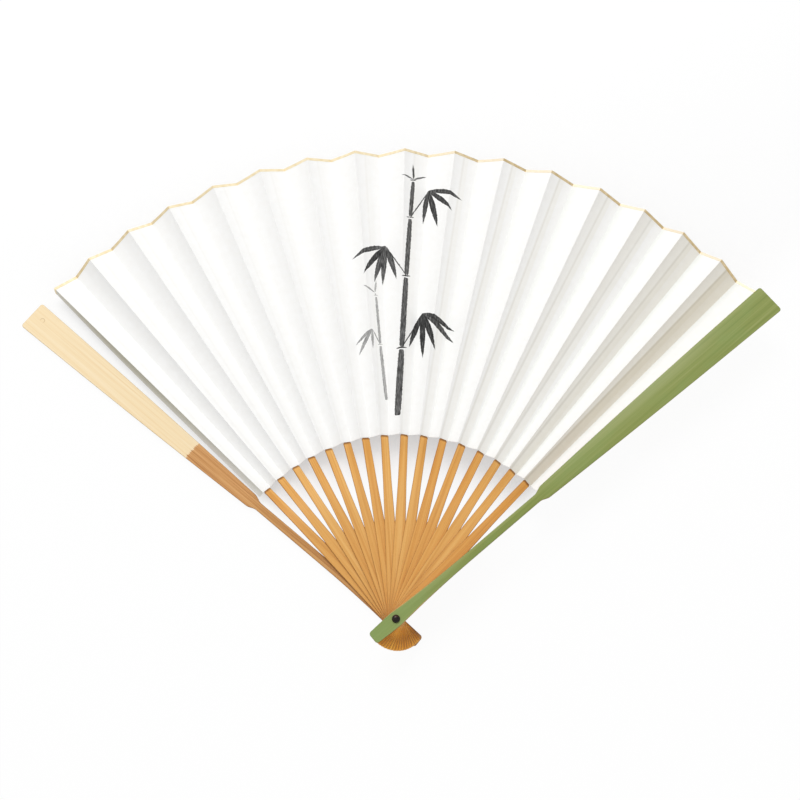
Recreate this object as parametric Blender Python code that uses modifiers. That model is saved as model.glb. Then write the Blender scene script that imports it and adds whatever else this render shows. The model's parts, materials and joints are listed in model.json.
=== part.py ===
"""Bamboo folding fan with a pleated paper leaf, opened and lying flat.

Units are metres and +Z is up. The rivet's axis is the Z axis, and its lower head stands on Z = 0.
The fan opens about +Y. The lower guard points up to the left (-X), the upper guard up to the right,
and the sixteen ribs between them are stacked on the rivet from the lower guard upwards.
Each stick is modelled along +Y on the rivet's axis and hangs on an empty that turns it to its place.
"""

import math

import bmesh
import bpy
import numpy as np
from mathutils import Vector

# Opening: the angle from each stick to the next, from the lower guard to the upper one.
# A fan opened by hand doesn't spread evenly, so each step is its own value.
OPEN_STEPS_DEG = (5.5, 5.45, 5.85, 5.65, 5.95, 6.1, 5.95, 5.95, 6.15, 6.15, 6.05, 6.05, 6.25,
                  5.95, 5.4, 5.55, 5.8)
RIB_COUNT = len(OPEN_STEPS_DEG) - 1

# Running gap that every piece keeps to the next one in the stack
GAP = 0.0003

# Head of a stick, round the rivet
HEAD_WIDTH = 0.0087
HEAD_REACH = 0.012
TAIL_WIDTH = 0.0072
TAIL_CORNER = 0.0016

# Guards
GUARD_REACH = 0.2835
GUARD_TAIL = 0.0165
GUARD_THICKNESS = 0.0026
GUARD_TIP_THICKNESS = 0.0018
NECK_WIDTH = 0.0047
NECK_START = 0.050
SHOULDER_START = 0.103
SHOULDER_END = 0.1095
SHOULDER_WIDTH = 0.0083
TIP_WIDTH = 0.0180
TIP_CORNER = 0.0016
BLADE_BELLY = 0.0005
GUARD_EDGE_ROUND = 0.00025

# Ribs
RIB_TAIL = 0.0161
RIB_THICKNESS = 0.00105
RIB_MIDDLE = 0.080
RIB_MIDDLE_WIDTH = 0.0048
RIB_TOP_WIDTH = 0.0049
RIB_TOP_THICKNESS = 0.0008
TWIST_START = 0.074
TONGUE_END = 0.268
TONGUE_WIDTH = 0.0040
TONGUE_END_WIDTH = 0.0028
TONGUE_THICKNESS = 0.00024

# Paper leaf
LEAF_INNER = 0.106
LEAF_OUTER = 0.2815
PLEAT_HALF_HEIGHT = 0.0042
PLEAT_HALF_ANGLE_DEG = 1.47
POCKET_THICKNESS = 0.0006
PAPER = 0.00012
LEAF_PITCH = 0.0010
RIB_TO_LEAF_GAP = 0.0005
PANEL_SEAM = 0.0001
LINK_SEAM = 0.0002
FLAP_DROP_OUTER = 0.0067
FLAP_DROP_INNER = 0.0027
FLAP_SPLAY_OUTER = 0.0005
FLAP_SPLAY_INNER = 0.0033

# Rivet
SHANK_RADIUS = 0.0015
BORE_CLEARANCE = 0.0001
FOOT_RADIUS = 0.0023
FOOT_HEIGHT = 0.0008
FOOT_CHAMFER = 0.0003
CAP_RADIUS = 0.00225
CAP_HEIGHT = 0.0014
SHANK_IN_CAP = 0.0007
TURNED_STEPS = 24
BORE_STEPS = 16

# Heights in the stack, worked out from the sizes above
RIB_PITCH = RIB_THICKNESS + GAP
LOWER_GUARD_BOTTOM = FOOT_HEIGHT + GAP
LOWER_GUARD_TOP = LOWER_GUARD_BOTTOM + GUARD_THICKNESS
FIRST_RIB_MIDDLE = LOWER_GUARD_TOP + GAP + RIB_THICKNESS / 2
UPPER_GUARD_BOTTOM = FIRST_RIB_MIDDLE + (RIB_COUNT - 0.5) * RIB_PITCH - GAP / 2 + GAP
UPPER_GUARD_TOP = UPPER_GUARD_BOTTOM + GUARD_THICKNESS
PLEAT_HALF_ANGLE = math.radians(PLEAT_HALF_ANGLE_DEG)
PLEAT_TILT = math.atan2(PLEAT_HALF_HEIGHT, LEAF_OUTER * math.sin(PLEAT_HALF_ANGLE))
POCKET_HALF_HEIGHT = POCKET_THICKNESS / 2 / math.cos(PLEAT_TILT)
FOLD_REACH = PLEAT_HALF_HEIGHT + POCKET_HALF_HEIGHT
LEAF_LIFT = LOWER_GUARD_BOTTOM + GUARD_TIP_THICKNESS + GAP + FOLD_REACH - FIRST_RIB_MIDDLE
RIB_END = LEAF_INNER - RIB_TO_LEAF_GAP


def along(reach):
    """Share of the way from the head to the leaf's outer edge, 0 on the head."""
    return max(0.0, reach - HEAD_REACH) / (LEAF_OUTER - HEAD_REACH)


def rib_height(number, reach):
    """Height of a rib's middle plane. The stack is thinner at the leaf than on the rivet."""
    pitch = RIB_PITCH + (LEAF_PITCH - RIB_PITCH) * along(reach)
    return FIRST_RIB_MIDDLE + (number - 1) * pitch + LEAF_LIFT * along(reach)


UPPER_GUARD_RISE = (rib_height(RIB_COUNT, LEAF_OUTER) + FOLD_REACH + GAP) - UPPER_GUARD_BOTTOM


def guard_thickness(reach):
    """A guard is planed thinner towards its tip."""
    return GUARD_THICKNESS + (GUARD_TIP_THICKNESS - GUARD_THICKNESS) * along(reach)


def lower_guard_middle(reach):
    """Height of the lower guard's middle plane. Its outer face lies level, just off the ground."""
    return LOWER_GUARD_BOTTOM + guard_thickness(reach) / 2


def upper_guard_middle(reach):
    """Height of the upper guard's middle plane. It rises with the leaf that is glued under it."""
    return UPPER_GUARD_BOTTOM + UPPER_GUARD_RISE * along(reach) + guard_thickness(reach) / 2


def smooth(value):
    """Ease from 0 to 1, flat at both ends."""
    value = min(max(value, 0.0), 1.0)
    return value * value * (3 - 2 * value)


def corner_loss(distance, radius):
    """How far a rounded corner draws the side in at a distance from the end."""
    if distance >= radius:
        return 0.0
    return radius - math.sqrt(max(radius ** 2 - (radius - distance) ** 2, 0.0))


def corner_stations(radius):
    """Distances from an end at which a rounded corner has its points."""
    return [radius * (1 - math.cos(math.radians(turn))) for turn in (0, 36, 62, 90)]


def guard_half_width(reach):
    """Half the width of a guard: head, long easing into the neck, shoulder, widening blade."""
    neck = NECK_WIDTH / 2
    if reach < 0:
        half = np.interp(reach, [-GUARD_TAIL, 0], [TAIL_WIDTH / 2, HEAD_WIDTH / 2])
        return half - corner_loss(reach + GUARD_TAIL, TAIL_CORNER)
    if reach < SHOULDER_START:
        left = 1 - min(reach / NECK_START, 1.0)
        return neck + (HEAD_WIDTH / 2 - neck) * left ** 1.9
    if reach < SHOULDER_END:
        step = smooth((reach - SHOULDER_START) / (SHOULDER_END - SHOULDER_START))
        return neck + (SHOULDER_WIDTH / 2 - neck) * step
    share = (reach - SHOULDER_END) / (GUARD_REACH - SHOULDER_END)
    blade = SHOULDER_WIDTH / 2 + (TIP_WIDTH - SHOULDER_WIDTH) / 2 * share
    blade += BLADE_BELLY * math.sin(math.pi * share)
    return blade - corner_loss(GUARD_REACH - reach, TIP_CORNER)


def guard_stations():
    """Places along a guard where its section is set."""
    tail = [-GUARD_TAIL + step for step in corner_stations(TAIL_CORNER)]
    neck = [0, 0.2 * NECK_START, 0.4 * NECK_START, 0.65 * NECK_START, NECK_START]
    neck.append(HEAD_REACH)
    shoulder_length = SHOULDER_END - SHOULDER_START
    shoulder = [SHOULDER_START + shoulder_length * part for part in (0, 0.25, 0.5, 0.75, 1)]
    blade_start = SHOULDER_END
    blade_end = GUARD_REACH - TIP_CORNER
    blade = [blade_start + (blade_end - blade_start) * part for part in (0.25, 0.5, 0.75)]
    tip = [GUARD_REACH - step for step in corner_stations(TIP_CORNER)]
    return sorted(tail + neck + shoulder + blade + tip)


def rib_half_width(reach):
    """Half the width of a rib: head, tapered handle, and the thin tongue inside the leaf."""
    if reach > RIB_END:
        ends = [RIB_END, TONGUE_END]
        return np.interp(reach, ends, [TONGUE_WIDTH / 2, TONGUE_END_WIDTH / 2])
    places = [-RIB_TAIL, 0, RIB_MIDDLE, RIB_END]
    widths = [TAIL_WIDTH, HEAD_WIDTH, RIB_MIDDLE_WIDTH, RIB_TOP_WIDTH]
    return np.interp(reach, places, widths) / 2 - corner_loss(reach + RIB_TAIL, TAIL_CORNER)


def rib_thickness(reach):
    """A rib is thinned along its handle, and stepped down to the tongue at the leaf."""
    if reach > RIB_END:
        return TONGUE_THICKNESS
    return np.interp(reach, [HEAD_REACH, RIB_END], [RIB_THICKNESS, RIB_TOP_THICKNESS])


def rib_tilt(reach):
    """A rib lies flat on the rivet and is twisted to the slope of its pleat at the leaf."""
    return PLEAT_TILT * smooth((reach - TWIST_START) / (RIB_END - TWIST_START))


def rib_stations():
    """Places along a rib where its section is set."""
    tail = [-RIB_TAIL + step for step in corner_stations(TAIL_CORNER)]
    twist = [TWIST_START + (RIB_END - TWIST_START) * part for part in (0, 0.25, 0.5, 0.75, 1)]
    tongue = [RIB_END + 0.00001, TONGUE_END]
    return sorted(tail + [0, HEAD_REACH] + twist + tongue)


def material(name, colour, roughness):
    """A plain Principled material."""
    made = bpy.data.materials.new(name)
    made.use_nodes = True
    shader = made.node_tree.nodes["Principled BSDF"]
    shader.inputs["Base Color"].default_value = (*colour, 1.0)
    shader.inputs["Roughness"].default_value = roughness
    made.diffuse_color = (*colour, 1.0)
    return made


def new_object(name, mesh, finish, holder, group):
    """Put a mesh in the scene under an empty."""
    made = bpy.data.objects.new(name, mesh)
    made.parent = holder
    if finish:
        mesh.materials.append(finish)
    group.objects.link(made)
    return made


def mesh_from(bm, name):
    """Turn a finished edit mesh into mesh data with its faces pointing out."""
    bmesh.ops.recalc_face_normals(bm, faces=bm.faces)
    mesh = bpy.data.meshes.new(name)
    bm.to_mesh(mesh)
    bm.free()
    return mesh


def stick_mesh(name, stations, half_width, thickness, middle, tilt):
    """Loft a stick along +Y. Every station has its own width, thickness, height and tilt."""
    bm = bmesh.new()
    bmesh.ops.create_grid(bm, x_segments=1, y_segments=len(stations) - 1, size=0.5)
    rows = sorted({round(vert.co.y, 6) for vert in bm.verts})
    reach_of = dict(zip(rows, stations))
    lower = {vert: (math.copysign(1, vert.co.x), reach_of[round(vert.co.y, 6)]) for vert in bm.verts}
    upper = bmesh.ops.extrude_face_region(bm, geom=bm.faces[:], use_keep_orig=True)["geom"]
    upper = [item for item in upper if isinstance(item, bmesh.types.BMVert)]
    layers = [(vert, -1, *place) for vert, place in lower.items()]
    for vert in upper:
        side = math.copysign(1, vert.co.x)
        layers.append((vert, 1, side, reach_of[round(vert.co.y, 6)]))
    for vert, layer, side, reach in layers:
        slope = tilt(reach)
        across = Vector((math.cos(slope), 0, -math.sin(slope)))
        normal = Vector((math.sin(slope), 0, math.cos(slope)))
        centre = Vector((0, reach, middle(reach)))
        vert.co = centre + across * side * half_width(reach) + normal * layer * thickness(reach) / 2
    return mesh_from(bm, name)


def add_bore(stick, cutter):
    """Drill a stick for the rivet's shank."""
    bore = stick.modifiers.new("rivet_bore", "BOOLEAN")
    bore.operation = "DIFFERENCE"
    bore.solver = "EXACT"
    bore.object = cutter


def fold_point(number, reach, side, turn_deg=0.0):
    """Point on a rib panel's fold line, seen along its rib: side -1 is the mountain, 1 the valley."""
    angle = math.radians(turn_deg) + side * PLEAT_HALF_ANGLE
    height = rib_height(number, reach) - side * PLEAT_HALF_HEIGHT * reach / LEAF_OUTER
    return Vector((reach * math.sin(angle), reach * math.cos(angle), height))


def toward(start, end, distance):
    """Move a point a short distance towards another."""
    return start + (end - start).normalized() * distance


def rib_panel_mesh(number):
    """Two plies of paper closed round the tongue, open at the leaf's inner edge."""
    bm = bmesh.new()
    bmesh.ops.create_cube(bm, size=2)
    normal = Vector((math.sin(PLEAT_TILT), 0, math.cos(PLEAT_TILT)))
    mouth = min(bm.faces, key=lambda face: face.calc_center_median().y)
    bmesh.ops.delete(bm, geom=[mouth], context="FACES_ONLY")
    for vert in bm.verts:
        side, end, layer = (round(part) for part in vert.co)
        reach = LEAF_OUTER if end > 0 else LEAF_INNER
        fold = fold_point(number, reach, side)
        inset = toward(fold, fold_point(number, reach, -side), PANEL_SEAM)
        vert.co = inset + normal * layer * POCKET_THICKNESS / 2
    return mesh_from(bm, f"rib_panel_{number:02d}")


def sheet_mesh(name, corners):
    """A single flat pleat from its four corners, drawn in from both folds by the seam."""
    inner_a, inner_b, outer_a, outer_b = corners
    places = {(-1, -1): toward(inner_a, inner_b, LINK_SEAM), (1, -1): toward(inner_b, inner_a, LINK_SEAM),
              (-1, 1): toward(outer_a, outer_b, LINK_SEAM), (1, 1): toward(outer_b, outer_a, LINK_SEAM)}
    bm = bmesh.new()
    bmesh.ops.create_grid(bm, x_segments=1, y_segments=1, size=1)
    for vert in bm.verts:
        vert.co = places[(round(vert.co.x), round(vert.co.y))]
    mesh = bpy.data.meshes.new(name)
    bm.to_mesh(mesh)
    bm.free()
    return mesh


def link_corners(number):
    """Corners of the pleat from a rib panel's valley to the next mountain, seen along the rib."""
    step = OPEN_STEPS_DEG[number]
    corners = []
    for reach in (LEAF_INNER, LEAF_OUTER):
        corners.append(fold_point(number, reach, 1))
        mountain = fold_point(number + 1, reach, -1, step)
        if number == RIB_COUNT:
            under = UPPER_GUARD_BOTTOM + UPPER_GUARD_RISE * along(reach)
            mountain.z = under - GAP - PAPER
        corners.append(mountain)
    return corners


def flap_corners():
    """Corners of the free glue flap that hangs from the first mountain."""
    corners = []
    for reach, drop, splay in ((LEAF_INNER, FLAP_DROP_INNER, FLAP_SPLAY_INNER),
                               (LEAF_OUTER, FLAP_DROP_OUTER, FLAP_SPLAY_OUTER)):
        mountain = fold_point(1, reach, -1)
        corners.append(mountain + Vector((-splay, 0, -drop)))
        corners.append(mountain + Vector((-LINK_SEAM, 0, -LINK_SEAM)))
    return corners


def paper_thickness(sheet, offset):
    """Give an open paper surface its thickness."""
    wall = sheet.modifiers.new("paper", "SOLIDIFY")
    wall.thickness = PAPER
    wall.offset = offset
    wall.use_even_offset = True


def turned(name, profile, finish, holder, group):
    """Turn a profile, given from its top down its outer side, about the Z axis."""
    mesh = bpy.data.meshes.new(name)
    edges = [(index, index + 1) for index in range(len(profile) - 1)]
    mesh.from_pydata([(radius, 0, height) for radius, height in profile], edges, [])
    made = new_object(name, mesh, finish, holder, group)
    turn = made.modifiers.new("turn", "SCREW")
    turn.steps = TURNED_STEPS
    turn.render_steps = TURNED_STEPS
    turn.use_merge_vertices = True
    turn.merge_threshold = 0.000001
    turn.use_smooth_shade = True
    return made


def rivet_profiles():
    """Outlines of the shank with its flat foot, and of the domed cap with its socket."""
    cap_base = UPPER_GUARD_TOP + GAP
    shank_top = cap_base + SHANK_IN_CAP
    shank = [(0, shank_top), (SHANK_RADIUS, shank_top), (SHANK_RADIUS, FOOT_HEIGHT),
             (FOOT_RADIUS, FOOT_HEIGHT), (FOOT_RADIUS, FOOT_CHAMFER),
             (FOOT_RADIUS - FOOT_CHAMFER, 0), (0, 0)]
    turns = [math.radians(90 * part / 5) for part in range(6)]
    dome = [(CAP_RADIUS * math.sin(turn), cap_base + CAP_HEIGHT * math.cos(turn)) for turn in turns]
    socket = SHANK_RADIUS + BORE_CLEARANCE
    socket_top = shank_top + BORE_CLEARANCE
    cap = dome + [(socket, cap_base), (socket, socket_top), (0, socket_top)]
    return shank, cap


def bore_cutter(group):
    """One long cutter on the rivet's axis that drills every stick."""
    bpy.ops.mesh.primitive_cylinder_add(vertices=BORE_STEPS, radius=SHANK_RADIUS + BORE_CLEARANCE,
                                        depth=3 * UPPER_GUARD_TOP)
    cutter = bpy.context.object
    cutter.name = "rivet_bore_cutter"
    cutter.location = (0, 0, UPPER_GUARD_TOP / 2)
    cutter.hide_render = True
    cutter.display_type = "WIRE"
    for owner in list(cutter.users_collection):
        owner.objects.unlink(cutter)
    group.objects.link(cutter)
    return cutter


def guard_object(name, stations, middle, finish, holder, group, cutter):
    """A guard with eased edges and its rivet bore."""
    mesh = stick_mesh(name, stations, guard_half_width, guard_thickness, middle, lambda reach: 0.0)
    guard = new_object(name, mesh, finish, holder, group)
    ease = guard.modifiers.new("eased_edges", "BEVEL")
    ease.width = GUARD_EDGE_ROUND
    ease.segments = 1
    ease.limit_method = "ANGLE"
    ease.angle_limit = math.radians(60)
    add_bore(guard, cutter)
    return guard


def build():
    """Make the whole fan."""
    for item in list(bpy.data.objects):
        bpy.data.objects.remove(item)
    fan = bpy.data.collections.new("folding_fan")
    cutters = bpy.data.collections.new("cutters")
    bpy.context.scene.collection.children.link(fan)
    bpy.context.scene.collection.children.link(cutters)

    lower_finish = material("pale_bamboo", (0.82, 0.62, 0.36), 0.45)
    upper_finish = material("green_bamboo", (0.26, 0.31, 0.11), 0.42)
    rib_finish = material("rib_bamboo", (0.72, 0.38, 0.11), 0.45)
    paper_finish = material("white_paper", (0.93, 0.92, 0.90), 0.85)
    rivet_finish = material("dark_horn", (0.02, 0.015, 0.015), 0.25)

    cutter = bore_cutter(cutters)
    half_opening = sum(OPEN_STEPS_DEG) / 2
    angles = [sum(OPEN_STEPS_DEG[:index]) - half_opening for index in range(RIB_COUNT + 2)]
    holders = []
    for index, angle in enumerate(angles):
        holder = bpy.data.objects.new(f"stick_place_{index:02d}", None)
        holder.empty_display_size = 0.01
        holder.rotation_euler = (0, 0, -math.radians(angle))
        fan.objects.link(holder)
        holders.append(holder)

    stations = guard_stations()
    guard_object("lower_guard", stations, lower_guard_middle, lower_finish, holders[0], fan, cutter)
    guard_object("upper_guard", stations, upper_guard_middle, upper_finish, holders[-1], fan, cutter)

    for number in range(1, RIB_COUNT + 1):
        holder = holders[number]
        mesh = stick_mesh(f"rib_{number:02d}", rib_stations(), rib_half_width, rib_thickness,
                          lambda reach, number=number: rib_height(number, reach), rib_tilt)
        rib = new_object(f"rib_{number:02d}", mesh, rib_finish, holder, fan)
        add_bore(rib, cutter)
        panel = new_object(f"rib_panel_{number:02d}", rib_panel_mesh(number), paper_finish, holder, fan)
        paper_thickness(panel, -1)
        link_name = f"link_panel_{number:02d}"
        link = new_object(link_name, sheet_mesh(link_name, link_corners(number)), paper_finish, holder, fan)
        paper_thickness(link, 0)

    flap = new_object("end_flap", sheet_mesh("end_flap", flap_corners()), paper_finish, holders[1], fan)
    paper_thickness(flap, 0)

    shank, cap = rivet_profiles()
    turned("rivet_shank", shank, rivet_finish, holders[0], fan)
    turned("rivet_cap", cap, rivet_finish, holders[0], fan)


build()
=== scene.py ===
"""Looks of the bamboo folding fan: dyed and bare bamboo sticks, a pleated paper leaf with a gold
paper edge, and a horn rivet. Units are metres, +Z is up and the rivet's axis is the Z axis.
"""

import json
import math
import random

import bmesh
import bpy
import numpy as np
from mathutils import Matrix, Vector


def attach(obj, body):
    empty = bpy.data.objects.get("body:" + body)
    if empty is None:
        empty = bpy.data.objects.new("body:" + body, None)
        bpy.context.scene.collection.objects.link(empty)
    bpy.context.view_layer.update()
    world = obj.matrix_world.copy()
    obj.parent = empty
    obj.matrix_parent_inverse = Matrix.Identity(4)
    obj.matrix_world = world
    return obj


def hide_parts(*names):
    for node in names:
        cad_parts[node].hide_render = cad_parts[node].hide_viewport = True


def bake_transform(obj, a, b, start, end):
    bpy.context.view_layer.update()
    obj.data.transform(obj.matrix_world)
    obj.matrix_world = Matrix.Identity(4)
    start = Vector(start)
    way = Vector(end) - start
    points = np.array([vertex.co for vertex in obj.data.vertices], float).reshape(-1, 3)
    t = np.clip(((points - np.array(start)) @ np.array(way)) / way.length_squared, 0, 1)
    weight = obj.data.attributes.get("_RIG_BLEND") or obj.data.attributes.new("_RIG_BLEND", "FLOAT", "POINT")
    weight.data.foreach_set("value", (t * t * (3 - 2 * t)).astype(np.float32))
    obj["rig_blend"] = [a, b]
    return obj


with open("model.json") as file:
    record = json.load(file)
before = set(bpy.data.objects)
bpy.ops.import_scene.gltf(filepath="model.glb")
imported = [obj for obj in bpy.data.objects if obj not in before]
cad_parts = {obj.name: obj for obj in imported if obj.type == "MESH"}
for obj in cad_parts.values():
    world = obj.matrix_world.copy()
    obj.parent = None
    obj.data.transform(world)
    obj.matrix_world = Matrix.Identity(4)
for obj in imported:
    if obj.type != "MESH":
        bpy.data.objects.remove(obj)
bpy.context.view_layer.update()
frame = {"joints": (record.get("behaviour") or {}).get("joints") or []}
bpy.ops.object.select_all(action="DESELECT")


# Camera, lamps and floor.
# The photograph looks down from above the handle. A broad soft lamp stands beyond the leaf and a
# little to its left, and white light comes from all round. The white floor keeps the fan's shadow.
CAMERA_PLACE = (0.00187, -0.06825, 0.77144)
CAMERA_TURN_DEG = (14.427, -0.009, -0.167)
CAMERA_LENS = 60.93
KEY_PLACE = (-0.36, 1.42, 1.85)
KEY_SIZE = 1.1
KEY_POWER = 27.0
LIGHT_AIM = (0.0, 0.14, 0.0)
AMBIENT = 0.62
FLOOR_SIZE = 8.0
SECTOR_GLOW = 0.48
FLOOR_GLOW = 0.94
SECTOR_HALF_DEG = 47.0
SECTOR_SOFT_DEG = 3.0
SECTOR_START = 0.076
SECTOR_FULL = 0.112

scene = bpy.context.scene
scene.view_settings.view_transform = "Standard"


def called(name):
    """Name the object that was just added."""
    made = bpy.context.object
    made.name = name
    return made


bpy.ops.object.camera_add(location=CAMERA_PLACE, rotation=[math.radians(part) for part in CAMERA_TURN_DEG])
camera = called("camera")
camera.data.sensor_width = 36
camera.data.lens = CAMERA_LENS
scene.camera = camera

bpy.ops.object.light_add(type="AREA", location=KEY_PLACE)
key_lamp = called("key_lamp")
key_lamp.data.shape = "SQUARE"
key_lamp.data.size = KEY_SIZE
key_lamp.data.energy = KEY_POWER
key_lamp.rotation_euler = (Vector(LIGHT_AIM) - Vector(KEY_PLACE)).to_track_quat("-Z", "Y").to_euler()


def new_material(name):
    """A material and its empty node tree."""
    made = bpy.data.materials.new(name)
    made.use_nodes = True
    made.node_tree.nodes.clear()
    return made, made.node_tree


def node(tree, kind, settings=(), **sockets):
    """Add a node. A socket is given a value, or another node's output to be linked from."""
    made = tree.nodes.new("ShaderNode" + kind)
    for name, value in dict(settings).items():
        setattr(made, name, value)
    for name, value in sockets.items():
        index = int(name[1:]) if name[0] == "i" and name[1:].isdigit() else name.replace("_", " ")
        socket = made.inputs[index]
        if isinstance(value, bpy.types.NodeSocket):
            tree.links.new(value, socket)
        else:
            socket.default_value = value
    return made


def tree_of(*values):
    """The node tree of the first value that comes out of a node."""
    return next(value.id_data for value in values if isinstance(value, bpy.types.NodeSocket))


def reckon(operation, first, second=0.5, clamp=False):
    """Work out one value from two."""
    settings = {"operation": operation, "use_clamp": clamp}
    return node(tree_of(first, second), "Math", settings, i0=first, i1=second).outputs[0]


def times(first, *others):
    """Values multiplied."""
    for other in others:
        first = reckon("MULTIPLY", first, other)
    return first


def plus(first, second, clamp=False):
    """Two values added."""
    return reckon("ADD", first, second, clamp)


def minus(first, second, clamp=False):
    """One value less another."""
    return reckon("SUBTRACT", first, second, clamp)


def spread(value, low, high, start=0.0, end=1.0):
    """A value that goes from low to high while another goes from start to end."""
    return node(tree_of(value), "MapRange", Value=value, From_Min=start, From_Max=end, To_Min=low,
                To_Max=high).outputs[0]


def between(value, low, high):
    """A share that eases from 0 at low to 1 at high."""
    return node(tree_of(value), "MapRange", {"interpolation_type": "SMOOTHSTEP"}, Value=value, From_Min=low,
                From_Max=high).outputs[0]


def between_degrees(heading, low, high):
    """A share that eases from 0 at one heading to 1 at another, both in degrees."""
    return between(heading, math.radians(low), math.radians(high))


def heading_of(place):
    """Heading of a place from the rivet, clockwise from +Y."""
    parts = node(place.id_data, "SeparateXYZ", Vector=place).outputs
    return reckon("ARCTAN2", parts["X"], parts["Y"])


def reach_of(place):
    """Distance of a place from the rivet."""
    return node(place.id_data, "VectorMath", {"operation": "LENGTH"}, i0=place).outputs["Value"]


def seen_directly(tree):
    """1 for camera, mirror and glass rays, 0 for the rays that light the object."""
    path = node(tree, "LightPath").outputs
    mirror = plus(path["Is Glossy Ray"], path["Is Transmission Ray"])
    return plus(path["Is Camera Ray"], mirror, clamp=True)


world = bpy.data.worlds.new("white_studio")
scene.world = world
world.use_nodes = True
sky = world.node_tree
sky.nodes.clear()
ambient = node(sky, "Background", Color=(1, 1, 1, 1), Strength=AMBIENT)
backdrop = node(sky, "Background", Color=(1, 1, 1, 1), Strength=1.0)
sky_mix = node(sky, "MixShader", i0=seen_directly(sky), i1=ambient.outputs[0], i2=backdrop.outputs[0])
node(sky, "OutputWorld", Surface=sky_mix.outputs[0])

floor_material, floor_tree = new_material("white_floor")
floor_matt = node(floor_tree, "BsdfDiffuse", Color=(0.95, 0.95, 0.95, 1))
floor_light = node(floor_tree, "Emission", Color=(1, 1, 1, 1), Strength=1.0)
floor_place = node(floor_tree, "TexCoord").outputs["Object"]
floor_aside = reckon("ABSOLUTE", heading_of(floor_place))
inside_sector = between_degrees(floor_aside, SECTOR_HALF_DEG + SECTOR_SOFT_DEG,
                                SECTOR_HALF_DEG - SECTOR_SOFT_DEG)
under_leaf = times(inside_sector, between(reach_of(floor_place), SECTOR_START, SECTOR_FULL))
floor_share = times(seen_directly(floor_tree), spread(under_leaf, FLOOR_GLOW, SECTOR_GLOW))
floor_mix = node(floor_tree, "MixShader", i0=floor_share, i1=floor_matt.outputs[0],
                 i2=floor_light.outputs[0])
node(floor_tree, "OutputMaterial", Surface=floor_mix.outputs[0])
bpy.ops.mesh.primitive_plane_add(size=FLOOR_SIZE, location=(0, 0, 0))
floor = called("floor")
floor.data.materials.append(floor_material)


# Lower guard.
# A broad bamboo slat under the leaf. Its inner face shows: scraped pale where the leaf's end would
# be glued, and stained with lacquer towards the rivet. Its outer face is dyed green like its twin's.
HEAD_WIDTH = 0.0087
HEAD_REACH = 0.012
TAIL_WIDTH = 0.0072
TAIL_CORNER = 0.0016
GUARD_REACH = 0.2835
GUARD_TAIL = 0.0165
GUARD_THICKNESS = 0.0026
GUARD_TIP_THICKNESS = 0.0018
NECK_WIDTH = 0.0047
NECK_START = 0.050
NECK_EASE = 1.9
SHOULDER_START = 0.103
SHOULDER_END = 0.1095
SHOULDER_WIDTH = 0.0083
TIP_WIDTH = 0.0180
TIP_CORNER = 0.0016
BLADE_BELLY = 0.0005
GUARD_EDGE_ROUND = 0.0003
GUARD_CROWN = 0.00035
CROWN_START = 0.001
CROWN_RUNOUT = 0.004
CROWN_AT_TIP = 0.4
LOWER_GUARD_BOTTOM = 0.0011
LEAF_OUTER = 0.2815
BORE_RADIUS = 0.0016
ROUND_SIDES = 48
STICK_SHADE_DEG = 35
SCRAPED_FROM = 0.1545
SCRAPE_DEPTH = 0.00012
SCRAPE_EDGE = 0.0004
DENT_PLACE = (0.0014, GUARD_REACH - 0.0076, 0)
DENT_RADIUS = 0.0013

opening_steps = [joint["range_deg"][1] for joint in frame["joints"]]
stick_angles = [math.radians(sum(opening_steps[:index]) - sum(opening_steps) / 2)
                for index in range(len(opening_steps) + 1)]


def smooth_step(value):
    """Ease from 0 to 1, flat at both ends."""
    value = min(max(value, 0.0), 1.0)
    return value * value * (3 - 2 * value)


def choose(kind, rule):
    """In edit mode, select the vertices, edges or faces that fit a rule, and nothing else."""
    bpy.ops.mesh.select_mode(type=kind)
    bpy.ops.mesh.select_all(action="DESELECT")
    shape = bmesh.from_edit_mesh(bpy.context.object.data)
    shape.normal_update()
    for item in {"VERT": shape.verts, "EDGE": shape.edges, "FACE": shape.faces}[kind]:
        if rule(item):
            item.select_set(True)
    shape.select_flush_mode()
    bmesh.update_edit_mesh(bpy.context.object.data)


def choose_all(kind=None):
    """In edit mode, select the whole mesh."""
    if kind:
        bpy.ops.mesh.select_mode(type=kind)
    bpy.ops.mesh.select_all(action="SELECT")


def middle(item):
    """Middle of an edge or a face."""
    return sum((vert.co for vert in item.verts), Vector()) / len(item.verts)


def turn(angle, axis, centre):
    """Turn what is selected about an axis. Without a window the operator turns the other way."""
    bpy.ops.transform.rotate(value=-angle, orient_axis=axis, center_override=centre)


def take_up(piece):
    """Select a piece by itself."""
    bpy.ops.object.select_all(action="DESELECT")
    piece.select_set(True)
    bpy.context.view_layer.objects.active = piece


def edit_mesh():
    """Open the active piece's mesh."""
    bpy.ops.object.mode_set(mode="EDIT")


def close_mesh():
    """Leave the mesh that is open."""
    bpy.ops.object.mode_set(mode="OBJECT")


def fix_place(piece):
    """Put an object's place and size into its mesh."""
    take_up(piece)
    bpy.ops.object.transform_apply(location=True, rotation=True, scale=True)


def grow_stick(name, rings):
    """Draw a flat stick out along +Y. Every ring gives its reach, width and thickness."""
    reach, width, thickness = rings[0]
    bpy.ops.mesh.primitive_plane_add(size=1, location=(0, reach, 0), rotation=(math.radians(90), 0, 0))
    stick = called(name)
    stick.data.name = name
    stick.scale = (width, thickness, 1)
    fix_place(stick)
    edit_mesh()
    for before, after in zip(rings, rings[1:]):
        bpy.ops.mesh.extrude_region_move(TRANSFORM_OT_translate={"value": (0, after[0] - before[0], 0)})
        bpy.ops.transform.resize(value=(after[1] / before[1], 1, after[2] / before[2]),
                                 center_override=(0, after[0], 0))
    choose_all()
    bpy.ops.mesh.normals_make_consistent(inside=False)
    return stick


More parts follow.
